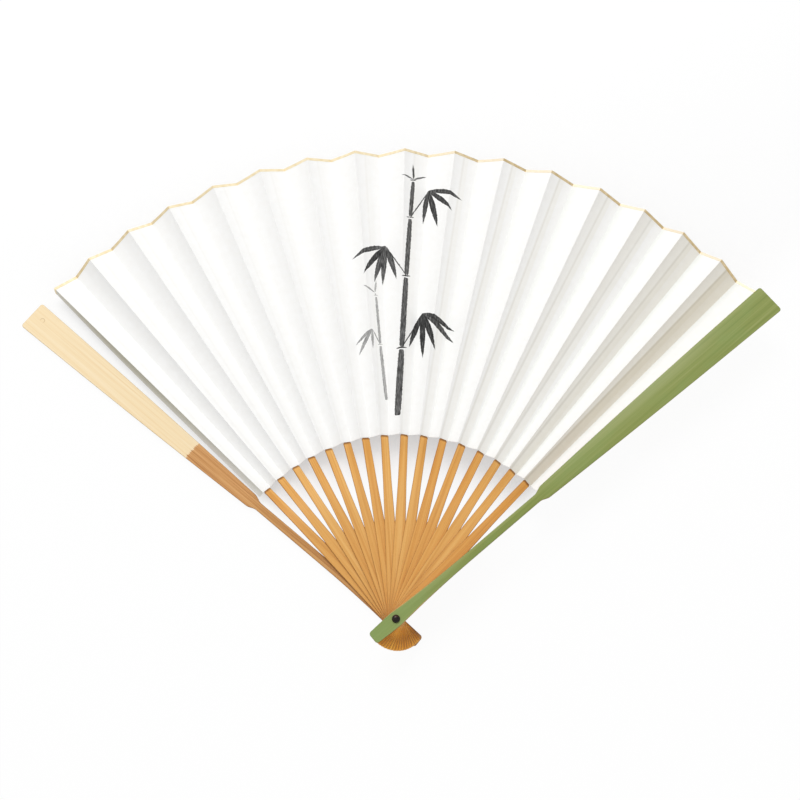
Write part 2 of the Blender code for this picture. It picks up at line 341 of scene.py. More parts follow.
def bevel(width, segments):
    """Bevel the edges that are selected."""
    bpy.ops.mesh.bevel(offset=width, offset_type="OFFSET", segments=segments, affect="EDGES")


def round_corners(reach, radius):
    """Round the two upright edges at an end of the stick in edit mode."""
    def upright(edge):
        a, b = (vert.co for vert in edge.verts)
        return abs(a.y - reach) < 1e-6 and abs(b.y - reach) < 1e-6 and abs(a.x - b.x) < 1e-6
    choose("EDGE", upright)
    bevel(radius, 6)


def ease_outline(radius, end):
    """Ease the long edges of the stick in edit mode, up to a reach."""
    def outline(edge):
        if len(edge.link_faces) != 2 or max(vert.co.y for vert in edge.verts) > end:
            return False
        a, b = (vert.co for vert in edge.verts)
        return edge.calc_face_angle() > math.radians(50) and abs(a.z - b.z) < 0.0004
    choose("EDGE", outline)
    bevel(radius, 3)


def mark_points(piece, name, value_of):
    """Give every point of a piece a named value."""
    mark = piece.data.attributes.new(name, "FLOAT", "POINT")
    mark.data.foreach_set("value", [float(value_of(vert)) for vert in piece.data.vertices])


def lay_grain(piece):
    """Give a flat stick its grain map: U across and V along, in metres, and mark its sides."""
    mesh = piece.data
    grain = mesh.uv_layers.new(name="grain")
    for face in mesh.polygons:
        for index in face.loop_indices:
            place = mesh.vertices[mesh.loops[index].vertex_index].co
            down_side = 0.0 if abs(face.normal.z) > 0.5 else place.z
            grain.data[index].uv = (place.x + down_side, place.y)
    flat = {index for face in mesh.polygons if abs(face.normal.z) > 0.97 for index in face.vertices}
    mark_points(piece, "side", lambda vert: vert.index not in flat)


def apply_step(piece, kind, **settings):
    """Give a piece a modifier and apply it."""
    step = piece.modifiers.new(kind, kind)
    for name, value in settings.items():
        setattr(step, name, value)
    bpy.context.view_layer.objects.active = piece
    bpy.ops.object.modifier_apply(modifier=kind)


def drill(piece):
    """Drill a stick on the rivet's axis."""
    bpy.ops.mesh.primitive_cylinder_add(vertices=ROUND_SIDES, radius=BORE_RADIUS, depth=0.2,
                                        location=(0, 0, 0))
    drill_bit = bpy.context.object
    apply_step(piece, "BOOLEAN", operation="DIFFERENCE", object=drill_bit)
    bpy.data.objects.remove(drill_bit)


def smooth(angle_deg):
    """Shade what is selected smooth, up to an angle between its faces."""
    bpy.ops.object.shade_smooth_by_angle(angle=math.radians(angle_deg))


def even_shading(piece):
    """Shade smooth across eased edges, and keep flat faces flat."""
    take_up(piece)
    smooth(STICK_SHADE_DEG)
    apply_step(piece, "WEIGHTED_NORMAL", keep_sharp=True)


def guard_width(reach):
    """Width of a guard: head, long easing into the neck, shoulder, widening blade."""
    if reach < 0:
        return TAIL_WIDTH + (HEAD_WIDTH - TAIL_WIDTH) * (reach + GUARD_TAIL) / GUARD_TAIL
    if reach < SHOULDER_START:
        left = 1 - min(reach / NECK_START, 1.0)
        return NECK_WIDTH + (HEAD_WIDTH - NECK_WIDTH) * left ** NECK_EASE
    if reach < SHOULDER_END:
        rise = smooth_step((reach - SHOULDER_START) / (SHOULDER_END - SHOULDER_START))
        return NECK_WIDTH + (SHOULDER_WIDTH - NECK_WIDTH) * rise
    share = (reach - SHOULDER_END) / (GUARD_REACH - SHOULDER_END)
    belly = 2 * BLADE_BELLY * math.sin(math.pi * share)
    return SHOULDER_WIDTH + (TIP_WIDTH - SHOULDER_WIDTH) * share + belly


def guard_thickness(reach):
    """A guard is planed thinner towards its tip."""
    share = max(0.0, reach - HEAD_REACH) / (LEAF_OUTER - HEAD_REACH)
    return GUARD_THICKNESS + (GUARD_TIP_THICKNESS - GUARD_THICKNESS) * share


def guard_rings():
    """Rings of a guard, close together where its outline curves."""
    places = [-GUARD_TAIL, 0, HEAD_REACH, SHOULDER_START, SCRAPED_FROM - SCRAPE_EDGE,
              SCRAPED_FROM + SCRAPE_EDGE]
    for start, end in ((0, NECK_START), (SHOULDER_START, SHOULDER_END), (SHOULDER_END, GUARD_REACH)):
        places += [start + (end - start) * part / 8 for part in range(1, 9)]
    return [(place, guard_width(place), guard_thickness(place)) for place in sorted(set(places))]


def crown_face(outward):
    """Raise the outer face along its middle, as the skin of a bamboo stem is curved."""
    for share, lift in ((0.0, 1.0), (0.5, 0.75), (-0.5, 0.75)):
        near = Vector((share * SHOULDER_WIDTH / 2, SHOULDER_END, 0))
        far = Vector((share * TIP_WIDTH / 2, GUARD_REACH, 0))
        across = (far - near).cross(Vector((0, 0, 1)))
        start = SHOULDER_END if share else HEAD_REACH
        choose("FACE", lambda face: face.normal.z * outward > 0.9 and middle(face).y > start)
        bpy.ops.mesh.bisect(plane_co=near, plane_no=across)
        shape = bmesh.from_edit_mesh(bpy.context.object.data)
        for vert in shape.verts:
            if vert.select and vert.co.y > start + CROWN_START:
                part = guard_width(vert.co.y) / TIP_WIDTH
                runout = min(1.0, (GUARD_REACH - vert.co.y) / CROWN_RUNOUT + CROWN_AT_TIP)
                vert.co.z += outward * lift * GUARD_CROWN * part * runout
        bmesh.update_edit_mesh(bpy.context.object.data)


def make_guard(name, outward):
    """A guard flat on its middle plane. Outward is 1 where its dyed skin faces up, -1 down."""
    guard = grow_stick(name, guard_rings())
    choose("VERT", lambda vert: vert.co.z * outward < 0 and vert.co.y > SCRAPED_FROM)
    bpy.ops.transform.translate(value=(0, 0, SCRAPE_DEPTH * outward))
    round_corners(-GUARD_TAIL, TAIL_CORNER)
    round_corners(GUARD_REACH, TIP_CORNER)
    ease_outline(GUARD_EDGE_ROUND, 1.0)
    crown_face(outward)
    close_mesh()
    lay_grain(guard)
    drill(guard)
    even_shading(guard)
    guard.data.materials.append(inner_material)
    guard.data.materials.append(skin_material)
    for face in guard.data.polygons:
        face.material_index = 1 if face.normal.z * outward > 0.2 else 0
    return guard


def lay_stick(piece, slope, height, number, start=HEAD_REACH):
    """Bend the active piece, made along +Y, at the end of the flat head, and put it in its place."""
    edit_mesh()
    choose("VERT", lambda vert: vert.co.y > start)
    turn(math.atan(slope), "X", (0, HEAD_REACH, 0))
    close_mesh()
    piece.location = (0, 0, height)
    piece.rotation_euler = (0, 0, -stick_angles[number])
    fix_place(piece)


def grain_noise(tree, across, along, detail=2.0, shift=0.0):
    """Noise drawn out along the stick. Across and along are spots in a metre."""
    grain = map_of(tree, "grain")
    layer = node(tree, "CombineXYZ", Z=attribute(tree, "tone")).outputs[0]
    place = node(tree, "VectorMath", {"operation": "ADD"}, i0=grain, i1=layer).outputs[0]
    stretch = node(tree, "Mapping", Vector=place, Location=(shift, shift, 0), Scale=(across, along, 40))
    return noise(stretch.outputs[0], 1.0, detail, Roughness=0.6)


def streaks(tree, broad, fine, share):
    """Fine streaks, and broad and fine ones together. Each is spots in a metre across and along."""
    broad = grain_noise(tree, *broad)
    fine = grain_noise(tree, *fine, 3.0)
    return fine, plus(times(broad, share), times(fine, 1 - share))


def grain_place(tree):
    """Distances across the stick from its middle and along it from the rivet, in metres."""
    return node(tree, "SeparateXYZ", Vector=map_of(tree, "grain")).outputs[:2]


def ramp(value, *stops):
    """Colours along a share. Every stop is its place, red, green and blue."""
    made = node(value.id_data, "ValToRGB", Fac=value)
    band = made.color_ramp
    while len(band.elements) < len(stops):
        band.elements.new(0.5)
    for element, (place, *colour) in zip(band.elements, stops):
        element.position = place
        element.color = (*colour, 1)
    return made.outputs[0]


def blend(share, first, second, mode="MIX"):
    """Mix two colours. The second may be written out."""
    second = (*second, 1) if isinstance(second, tuple) else second
    settings = {"data_type": "RGBA", "blend_type": mode}
    return node(first.id_data, "Mix", settings, i0=share, i6=first, i7=second).outputs[2]


def tint(share, colour, factor):
    """Multiply a colour by a factor for red, green and blue."""
    return blend(share, colour, factor, "MULTIPLY")


def attribute(tree, name):
    """A mesh attribute's value."""
    return node(tree, "Attribute", {"attribute_name": name}).outputs["Fac"]


def map_of(tree, name):
    """A mesh's own map."""
    return node(tree, "UVMap", {"uv_map": name}).outputs[0]


def noise(place, scale, detail, **more):
    """Cloudy noise. Scale is spots in a metre of the map."""
    return node(tree_of(place), "TexNoise", Vector=place, Scale=scale, Detail=detail, **more).outputs["Fac"]


def bump(height, strength, distance, **under):
    """Relief from a height. Distance is how far a height of 1 stands up, in metres."""
    return node(height.id_data, "Bump", Height=height, Strength=strength, Distance=distance,
                **under).outputs[0]


def surface(colour, rough, **more):
    """Finish a material with its shader and output."""
    tree = colour.id_data
    shader = node(tree, "BsdfPrincipled", Base_Color=colour, Roughness=rough, **more)
    node(tree, "OutputMaterial", Surface=shader.outputs[0])


def bamboo_surface(colour, fine, gloss, coat):
    """Finish of scraped bamboo: fine ridges along the grain under a thin polish."""
    surface(colour, spread(fine, gloss - 0.07, gloss + 0.09), Specular_IOR_Level=0.4,
            Normal=bump(fine, 0.35, 0.00006), Coat_Weight=coat, Coat_Roughness=0.25)


def inner_bamboo():
    """Inner face of a guard: a lacquer stain towards the rivet, scraped pale from there on."""
    material, tree = new_material("bare_guard_bamboo")
    fine, grain = streaks(tree, (650, 7), (3400, 30), 0.55)
    across, reach = grain_place(tree)
    stain_and_painted_shade = ramp(grain, (0.36, 0.33, 0.12, 0.022), (0.49, 0.56, 0.262, 0.072), (0.62, 0.72, 0.405, 0.158))
    pale = ramp(grain, (0.3, 0.81, 0.585, 0.305), (0.48, 0.875, 0.695, 0.425), (0.68, 0.915, 0.76, 0.52))
    edge = times(minus(grain, 0.5), 0.006)
    scraped = between(plus(reach, edge), SCRAPED_FROM - 0.0005, SCRAPED_FROM + 0.0005)
    handled = between(reach, SHOULDER_END + 0.006, SHOULDER_START - 0.006)
    stain_and_painted_shade = tint(handled, stain_and_painted_shade, (0.88, 0.86, 0.76))
    colour = blend(scraped, stain_and_painted_shade, pale)
    # Painted shade: the guard's sides are made darker.
    colour = tint(times(attribute(tree, "side"), 0.55), colour, (0.62, 0.5, 0.34))
    # Painted shade of a small dent near the tip: a dark ring on one side of it. The dent itself is not
    # modelled.
    flat_place = map_of(tree, "grain")
    from_dent = node(tree, "VectorMath", {"operation": "DISTANCE"}, i0=flat_place, i1=DENT_PLACE)
    ring = reckon("ABSOLUTE", minus(from_dent.outputs["Value"], DENT_RADIUS))
    open_side = between(across, DENT_PLACE[0] - DENT_RADIUS, DENT_PLACE[0] + 0.0004)
    dent_shade = times(between(ring, 0.0004, 0.0001), open_side)
    colour = tint(times(dent_shade, 0.7), colour, (0.7, 0.62, 0.5))
    bamboo_surface(colour, fine, 0.48, 0.08)
    return material


def green_skin():
    """Outer skin of a guard, dyed green. The dye lies thinner along some fibres and at the head."""
    material, tree = new_material("green_dyed_skin")
    fine, grain = streaks(tree, (420, 5), (2600, 22), 0.6)
    across, reach = grain_place(tree)
    clouds = grain_noise(tree, 90, 28, 2.0, 3.7)
    dye = ramp(grain, (0.3, 0.16, 0.21, 0.036), (0.5, 0.234, 0.278, 0.064), (0.7, 0.312, 0.346, 0.116))
    dye = blend(times(between(clouds, 0.45, 0.7), 0.4), dye, (0.215, 0.305, 0.085))
    worn = minus(between(reach, 0.12, 0.19), between(reach, 0.21, 0.265))
    worn = times(worn, between(across, 0.001, -0.0045))
    dye = blend(times(worn, 0.42), dye, (0.345, 0.375, 0.155))
    neck = times(between(reach, 0.035, 0.065), between(reach, 0.125, 0.095))
    dye = tint(neck, dye, (0.91, 0.93, 0.76))
    dye = blend(times(between(reach, 0.045, -0.004), 0.45), dye, (0.205, 0.315, 0.085))
    # Painted shade: the skin is darker at its eased edges.
    dye = tint(times(attribute(tree, "side"), 0.5), dye, (0.6, 0.62, 0.5))
    left = spread(reach, 1.0, 0.0, 0.0, NECK_START)
    swell = times(reckon("POWER", left, NECK_EASE), (HEAD_WIDTH - NECK_WIDTH) / 2)
    edge = minus(reckon("ABSOLUTE", across), swell)
    wear_and_painted_light = between(plus(edge, times(clouds, 0.0012)), NECK_WIDTH / 2 + 0.0001, NECK_WIDTH / 2 + 0.0006)
    wear_and_painted_light = times(wear_and_painted_light, between(reach, 0.040, 0.008))
    dye = blend(times(wear_and_painted_light, 0.8), dye, (0.62, 0.33, 0.1))
    bamboo_surface(dye, fine, 0.40, 0.15)
    return material


inner_material = inner_bamboo()
skin_material = green_skin()
guard_fall = (GUARD_THICKNESS - GUARD_TIP_THICKNESS) / 2 / (LEAF_OUTER - HEAD_REACH)
lower_guard = make_guard("lower_guard_slat", -1)
lay_stick(lower_guard, -guard_fall, LOWER_GUARD_BOTTOM + GUARD_THICKNESS / 2, 0)
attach(lower_guard, "lower_guard")
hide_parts("lower_guard")


# Rivet shank.
# One piece of dark horn, turned with its foot. It passes through every stick and carries the fan.
SHANK_RADIUS = 0.0015
FOOT_RADIUS = 0.0023
FOOT_HEIGHT = 0.0008
FOOT_CHAMFER = 0.0003
SHANK_TOP = 0.0292


def horn():
    """Dark polished horn, nearly black, with faint brown layers."""
    material, tree = new_material("polished_horn")
    place = node(tree, "TexCoord").outputs["Object"]
    layers = node(tree, "Mapping", Vector=place, Scale=(500, 900, 1500))
    cloud = noise(layers.outputs[0], 1.0, 3.0)
    colour = ramp(cloud, (0.4, 0.003, 0.0025, 0.002), (0.54, 0.011, 0.007, 0.004),
                  (0.68, 0.06, 0.015, 0.007))
    surface(colour, spread(cloud, 0.20, 0.34), Specular_IOR_Level=0.20)
    return material


def radius_of(vert):
    """Distance of a vertex from the rivet's axis."""
    return math.hypot(vert.co.x, vert.co.y)


horn_material = horn()
bpy.ops.mesh.primitive_cylinder_add(vertices=ROUND_SIDES, radius=FOOT_RADIUS, depth=FOOT_HEIGHT,
                                    location=(0, 0, FOOT_HEIGHT / 2))
rivet_shank = called("rivet_shank_turned")
fix_place(rivet_shank)
edit_mesh()
choose("FACE", lambda face: face.normal.z > 0.9)
bpy.ops.mesh.inset(thickness=FOOT_RADIUS - SHANK_RADIUS)
bpy.ops.mesh.extrude_region_move(TRANSFORM_OT_translate={"value": (0, 0, SHANK_TOP - FOOT_HEIGHT)})
choose("EDGE", lambda edge: middle(edge).z < 1e-6 and edge.calc_face_angle() > 1)
bevel(FOOT_CHAMFER, 3)
close_mesh()
even_shading(rivet_shank)
rivet_shank.data.materials.append(horn_material)
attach(rivet_shank, "lower_guard")
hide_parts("rivet_shank")


# Ribs.
# Sixteen thin slips of lacquered bamboo on the rivet. Each lies flat at its broad head, is twisted
# to the slope of its pleat below the leaf, and runs on as a thin tongue between two plies of paper.
RIB_COUNT = 16
RIB_TAIL = 0.0161
RIB_THICKNESS = 0.00105
RIB_PITCH = 0.00135
RIB_MIDDLE = 0.080
RIB_MIDDLE_WIDTH = 0.0048
RIB_TOP_WIDTH = 0.0049
RIB_TOP_THICKNESS = 0.0008
RIB_EDGE_ROUND = 0.0003
RIB_END = 0.1055
SCARF_LENGTH = 0.0013
SCARF_THICKNESS = 0.00036
TWIST_START = 0.074
TONGUE_STEP = 0.0001
TONGUE_END = 0.268
TONGUE_WIDTH = 0.004
TONGUE_END_WIDTH = 0.0028
TONGUE_THICKNESS = 0.00024
FIRST_RIB_MIDDLE = 0.004525
LEAF_PITCH = 0.001
LEAF_LIFT = 0.003222
PLEAT_HALF_HEIGHT = 0.0042
PLEAT_HALF_ANGLE = math.radians(1.47)
PLEAT_TILT = math.atan2(PLEAT_HALF_HEIGHT, LEAF_OUTER * math.sin(PLEAT_HALF_ANGLE))
RIB_TONES = random.Random(11)


def rib_rings():
    """Rings of a rib from its tail to the end of its tongue."""
    scarf = RIB_END - SCARF_LENGTH
    rings = []
    for place in (-RIB_TAIL, 0, HEAD_REACH, 0.04, TWIST_START, 0.079, 0.084, 0.089, 0.094, 0.099, scarf):
        width = np.interp(place, (-RIB_TAIL, 0, RIB_MIDDLE, RIB_END),
                          (TAIL_WIDTH, HEAD_WIDTH, RIB_MIDDLE_WIDTH, RIB_TOP_WIDTH))
        thickness = np.interp(place, (HEAD_REACH, scarf), (RIB_THICKNESS, RIB_TOP_THICKNESS))
        rings.append((place, width, thickness))
    return rings + [(RIB_END, RIB_TOP_WIDTH, SCARF_THICKNESS),
                    (RIB_END + TONGUE_STEP, TONGUE_WIDTH, TONGUE_THICKNESS),
                    (TONGUE_END, TONGUE_END_WIDTH, TONGUE_THICKNESS)]


def twist_rib():
    """Twist the rib in edit mode, ring by ring, from flat to the slope of its pleat."""
    shape = bmesh.from_edit_mesh(bpy.context.object.data)
    reaches = sorted({round(vert.co.y, 6) for vert in shape.verts if vert.co.y > TWIST_START + 0.001})
    for reach in reaches:
        slope = PLEAT_TILT * smooth_step((reach - TWIST_START) / (RIB_END - TWIST_START))
        choose("VERT", lambda vert: abs(vert.co.y - reach) < 2e-6)
        turn(slope, "Y", (0, reach, 0))


def copy_of(piece, name):
    """A copy with its own mesh."""
    take_up(piece)
    bpy.ops.object.duplicate()
    made = called(name)
    made.data.name = name
    return made


def lay_on_rib(piece, number):
    """Put a piece that was made along +Y onto its rib: bent to the stack's slope, lifted and turned."""
    climb = (LEAF_LIFT + (number - 1) * (LEAF_PITCH - RIB_PITCH)) / (LEAF_OUTER - HEAD_REACH)
    lay_stick(piece, climb, FIRST_RIB_MIDDLE + (number - 1) * RIB_PITCH, number, HEAD_REACH + 1e-6)


def rib_bamboo():
    """Lacquered bamboo of the ribs: long fibres. Painted shade darkens each rib's edges and sides and draws
    thin lines along the tails; painted light turns the tails a brighter orange; the scarfs are darkened by a
    painted shadow of the leaf's edge together with a stain.
    """
    material, tree = new_material("lacquered_rib_bamboo")
    fine, grain = streaks(tree, (520, 6), (3300, 26), 0.6)
    across, reach = grain_place(tree)
    pores = grain_noise(tree, 5200, 190, 1.0, 1.3)
    amber = ramp(grain, (0.3, 0.53, 0.205, 0.03), (0.48, 0.668, 0.306, 0.056), (0.68, 0.775, 0.422, 0.108))
    honey = ramp(grain, (0.3, 0.59, 0.272, 0.05), (0.48, 0.722, 0.376, 0.092), (0.68, 0.835, 0.493, 0.16))
    colour = blend(attribute(tree, "tone"), amber, honey)
    colour = tint(between(reach, 0.064, 0.1), colour, (1.11, 1.12, 1.18))
    colour = tint(times(between(pores, 0.62, 0.72), 0.25), colour, (0.55, 0.42, 0.25))
    half_width = spread(reach, HEAD_WIDTH / 2, RIB_MIDDLE_WIDTH / 2, 0.0, RIB_MIDDLE)
    tail_half_width = spread(reach, TAIL_WIDTH / 2, HEAD_WIDTH / 2, -RIB_TAIL, 0.0)
    half_width = reckon("MINIMUM", half_width, tail_half_width)
    aside = minus(reckon("ABSOLUTE", across), half_width)
    tail = between(reach, 0.002, -0.005)
    handle = minus(1.0, tail)
    # Painted shade along both long edges of each rib.
    rib_edge_shade = times(between(aside, -0.00065, -0.00015), handle)
    colour = tint(times(rib_edge_shade, 0.3), colour, (0.72, 0.66, 0.52))
    # Painted shade: the sides are darker along the handle, as lines between the stacked ribs.
    colour = tint(times(attribute(tree, "side"), 0.7, handle), colour, (0.58, 0.46, 0.3))
    # Painted light: the tails, which lie in the shade of the stacked heads, are turned a brighter orange.
    wear_and_painted_light = ramp(grain, (0.36, 0.72, 0.28, 0.012), (0.5, 0.86, 0.385, 0.026), (0.64, 0.94, 0.5, 0.05))
    colour = blend(times(tail, 0.85), colour, wear_and_painted_light)
    # Painted shade: thin dark lines along the tails' edges, where they lie under one another.
    tail_edge_shade = times(between(aside, -0.0006, -0.0003), between(reach, -0.006, -0.011))
    colour = tint(times(tail_edge_shade, 0.75), colour, (0.42, 0.28, 0.16))
    # The scarf is darkened by a painted shadow of the leaf's edge together with a stain, with a ragged edge.
    ragged_reach = plus(reach, times(fine, 0.0016))
    scarf = between(ragged_reach, RIB_END - SCARF_LENGTH + 0.0009, RIB_END - SCARF_LENGTH + 0.0020)
    colour = tint(scarf, colour, (0.4, 0.32, 0.21))
    bamboo_surface(colour, fine, 0.40, 0.06)
    return material


rib_material = rib_bamboo()
rib_pattern = grow_stick("rib_pattern", rib_rings())
round_corners(-RIB_TAIL, TAIL_CORNER)
ease_outline(RIB_EDGE_ROUND, RIB_END - SCARF_LENGTH + 1e-5)
close_mesh()
lay_grain(rib_pattern)
drill(rib_pattern)
edit_mesh()
twist_rib()
close_mesh()
even_shading(rib_pattern)
rib_pattern.data.materials.append(rib_material)
for number in range(1, RIB_COUNT + 1):
    rib = copy_of(rib_pattern, f"bamboo_rib_{number:02d}")
    tone = RIB_TONES.random()
    mark_points(rib, "tone", lambda vert: tone)
    lay_on_rib(rib, number)
    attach(rib, f"rib_{number:02d}")
    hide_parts(f"rib_{number:02d}")
bpy.data.objects.remove(rib_pattern)


# Paper on the ribs.
# Each rib's tongue is glued between two plies of paper, which make one slope of the pleat. The
# plies close over it at the mountain fold on the left and the valley fold on the right. Thin gold
# paper is folded over the outer edge.
LEAF_INNER = 0.106
PLIES = 0.00024
PLY = 0.0001
TONGUE_RAISE = 0.00015
TONGUE_MARGIN = 0.00012
GLUE_SLOPE = 0.0008
CHANNEL_SLACK = 0.00005
CHANNEL_END = TONGUE_END + 0.0004
CROSS_CUTS = (0.14, 0.175, 0.21, 0.24)
GROOVE_WIDTH = 0.0013
FLAP_SHADE_TINT = (0.48, 0.47, 0.38)
PAPER_HOLLOW = 0.011
PAPER_SHADE_DEG = 25

# A spray of bamboo is painted on the middle pleats. Places are on the open leaf, headings in degrees.
# A stem is its half width, its ink, and its joints from the lowest up
STEMS = (
    (0.0020, 0.66, ((0.0010, 0.116), (0.0036, 0.157), (0.0064, 0.201), (0.0090, 0.238), (0.0110, 0.262))),
    (0.0010, 0.26, ((-0.0052, 0.126), (-0.0088, 0.160), (-0.0114, 0.190))),
)
# A spray of leaves is its twig's start and end, the middle leaf's heading, their spread, count,
# length and ink
SPRAYS = (
    ((0.0036, 0.157), (0.0160, 0.1790), -70, 96, 5, 0.030, 1.0),
    ((0.0064, 0.201), (-0.0060, 0.2220), -112, 92, 5, 0.029, 0.95),
    ((0.0090, 0.238), (0.0200, 0.2570), -62, 88, 4, 0.026, 1.0),
    ((0.0110, 0.262), (0.0112, 0.2625), 94, 116, 3, 0.0125, 0.85),
    ((-0.0088, 0.160), (-0.0135, 0.1690), -122, 56, 3, 0.019, 0.34),
    ((-0.0114, 0.190), (-0.0120, 0.1915), 112, 60, 2, 0.011, 0.30),
)
LEAF_HALF_WIDTH = 0.0017
TWIG_HALF_WIDTH = 0.0004
JOINT_LENGTH = 0.0062
JOINT_GAP = 0.0009
JOINT_THINNESS = 0.28
STEM_TAPER = 0.86
LEAF_DROOP = 0.16
BRUSH_WOBBLE = 0.0007
INK_EDGE = 0.00025
BRUSH = random.Random(5)
TAPE_WIDTH = 0.0016
TAPE_THICKNESS = 0.00006

fold_inner = LEAF_INNER * math.cos(PLEAT_HALF_ANGLE)
fold_outer = LEAF_OUTER * math.cos(PLEAT_HALF_ANGLE)


def pleat_half_width(reach):
    """Half the width of a pleat's slope, measured on the paper."""
    return reach * math.tan(PLEAT_HALF_ANGLE) / math.cos(PLEAT_TILT)


def tongue_half_width(reach):
    """Half the width of a rib's tongue."""
    return np.interp(reach, (RIB_END, TONGUE_END), (TONGUE_WIDTH / 2, TONGUE_END_WIDTH / 2))


def channel_half_width(reach):
    """Half the width of the raised channel over a tongue. It keeps its taper up to the leaf's edge."""
    taper = (TONGUE_END_WIDTH - TONGUE_WIDTH) / 2 / (TONGUE_END - RIB_END)
    return TONGUE_WIDTH / 2 + taper * (reach - RIB_END) + TONGUE_MARGIN


def over_tongue(vert):
    """Whether a point of the flat pleat lies on the raised channel."""
    return abs(vert.co.x) < channel_half_width(vert.co.y) + CHANNEL_SLACK


def cut_beside_tongue(side, margin):
    """Cut what is in edit mode along one side of the tongue, at a margin from it."""
    near = Vector((side * (tongue_half_width(fold_inner) + margin), fold_inner, 0))
    far = Vector((side * (tongue_half_width(TONGUE_END) + margin), TONGUE_END, 0))
    choose_all("FACE")
    bpy.ops.mesh.bisect(plane_co=near, plane_no=(far - near).cross(Vector((0, 0, 1))))


def strip_of(piece, name, outward):
    """Open a copy of a piece that is only its outer edge, where the gold paper goes."""
    strip = copy_of(piece, name)
    edit_mesh()
    choose_all()
    bpy.ops.mesh.bisect(plane_co=outward * (fold_outer - TAPE_WIDTH), plane_no=outward, clear_inner=True)
    return strip


def thicken(piece, thickness, offset):
    """Give an open sheet of paper its thickness."""
    apply_step(piece, "SOLIDIFY", thickness=thickness, offset=offset, use_even_offset=True)


def mark_backed(piece):
    """Mark glued plies, where bamboo lies behind them, and the distance across from its middle."""
    mark_points(piece, "glued", lambda vert: 1.0)
    mark_points(piece, "backed", over_tongue)
    mark_points(piece, "across", lambda vert: vert.co.x)


def map_leaf(piece):
    """Give paper that is in place its map, so that fibres and ink stay with it as it folds."""
    mesh = piece.data
    leaf = mesh.uv_layers.new(name="leaf")
    for corner in mesh.loops:
        place = mesh.vertices[corner.vertex_index].co
        leaf.data[corner.index].uv = (place.x, place.y)
    front = mesh.attributes.new("front", "FLOAT", "FACE")
    front.data.foreach_set("value", [1.0 if face.normal.z > 0.2 else 0.0 for face in mesh.polygons])


def brush_stroke():
    """A node group: how much ink one stroke lays at a place. Pointed is 1 for a leaf, near 0 for a stem."""
    group = bpy.data.node_groups.new("brush_stroke", "ShaderNodeTree")
    for name in ("Place", "Start", "Heading", "Length", "Width", "Pointed", "Bend", "Ink"):
        kind = "Vector" if name in ("Place", "Start") else "Float"
        group.interface.new_socket(name, in_out="INPUT", socket_type=f"NodeSocket{kind}")
    group.interface.new_socket("Laid", in_out="OUTPUT", socket_type="NodeSocketFloat")
    given = group.nodes.new("NodeGroupInput").outputs
    offset = node(group, "VectorMath", {"operation": "SUBTRACT"}, i0=given["Place"], i1=given["Start"])
    turned = node(group, "VectorRotate", {"rotation_type": "Z_AXIS"}, Vector=offset.outputs[0],
                  Angle=times(given["Heading"], -1.0)).outputs[0]
    along, aside = node(group, "SeparateXYZ", Vector=turned).outputs[:2]
    share = reckon("DIVIDE", along, given["Length"], clamp=True)
    early = reckon("POWER", share, 0.8)
    left = minus(1.0, early)
    swell = times(early, left, 4.0)
    width = times(given["Width"], reckon("POWER", swell, given["Pointed"]))
    bent = times(along, share, given["Bend"])
    from_spine = reckon("ABSOLUTE", minus(aside, bent))
    outside = minus(from_spine, width)
    gathered = spread(reckon("DIVIDE", from_spine, given["Width"]), 0.90, 1.15)
    ink = times(gathered, given["Ink"])
    laid = times(between(outside, 0.0, -INK_EDGE), ink)
    group.links.new(laid, group.nodes.new("NodeGroupOutput").inputs["Laid"])
    return group


def painted_strokes():
    """Every stroke of the painting: start, heading, length, half width, how pointed, bend and ink."""
    made = []
    for width, ink, joints in STEMS:
        for low, high in zip(joints, joints[1:]):
            rise = Vector(high) - Vector(low)
            heading = math.degrees(math.atan2(rise.y, rise.x))
            start = Vector(low) + rise.normalized() * JOINT_GAP
            made.append((start, heading, rise.length - 2 * JOINT_GAP, width, 0.10, 0.0, ink))
            ring = JOINT_LENGTH * width / STEMS[0][0]
            made.append((Vector(high) - Vector((ring / 2, 0)), 6, ring, width * JOINT_THINNESS, 0.5, 0.0,
                         min(1.0, ink * 1.6)))
            width *= STEM_TAPER
    for start, tip, heading, splay, count, length, ink in SPRAYS:
        rise = Vector(tip) - Vector(start)
        made.append((Vector(start), math.degrees(math.atan2(rise.y, rise.x)), rise.length, TWIG_HALF_WIDTH,
                     0.3, 0.0, ink * 0.8))
        for leaf in range(count):
            aside = 2 * leaf / (count - 1) - 1
            leaf_length = length * (1 - 0.22 * abs(aside)) * BRUSH.uniform(0.82, 1.08)
            droop = -LEAF_DROOP * math.cos(math.radians(heading + aside * splay / 2))
            made.append((Vector(tip), heading + aside * splay / 2 + BRUSH.uniform(-6, 6), leaf_length,
                         LEAF_HALF_WIDTH * min(1.0, leaf_length / 0.024), 1.0, droop,
                         ink * BRUSH.uniform(0.72, 1.0)))
    return made


def ink_painting(tree, leaf):
    """How much of the paper's white the painting leaves: ink lies thinner where the brush ran dry."""
    stroke = brush_stroke()
    wobble = node(tree, "TexNoise", Vector=leaf, Scale=700.0, Detail=2.0).outputs["Color"]
    sway = node(tree, "VectorMath", {"operation": "MULTIPLY_ADD"}, i0=wobble,
                i1=(BRUSH_WOBBLE, BRUSH_WOBBLE, 0), i2=leaf).outputs[0]
    ink = None
    for start, heading, length, width, pointed, bend, dark in strokes:
        laid = node(tree, "Group", {"node_tree": stroke}, Place=sway,
                    Start=(start.x + BRUSH_WOBBLE / 2, start.y + BRUSH_WOBBLE / 2, 0),
                    Heading=math.radians(heading), Length=length, Width=width, Pointed=pointed,
                    Bend=bend, Ink=dark).outputs[0]
        ink = reckon("MAXIMUM", ink, laid) if ink else laid
    strung = node(tree, "Mapping", Vector=sway, Scale=(2600, 260, 1))
    hairs = noise(strung.outputs[0], 1.0, 3.0)
    dry = spread(hairs, 1.15, 0.55, 0.35, 0.65)
    depth = times(ink, dry, attribute(tree, "front"))
    return reckon("POWER", 0.018, depth)


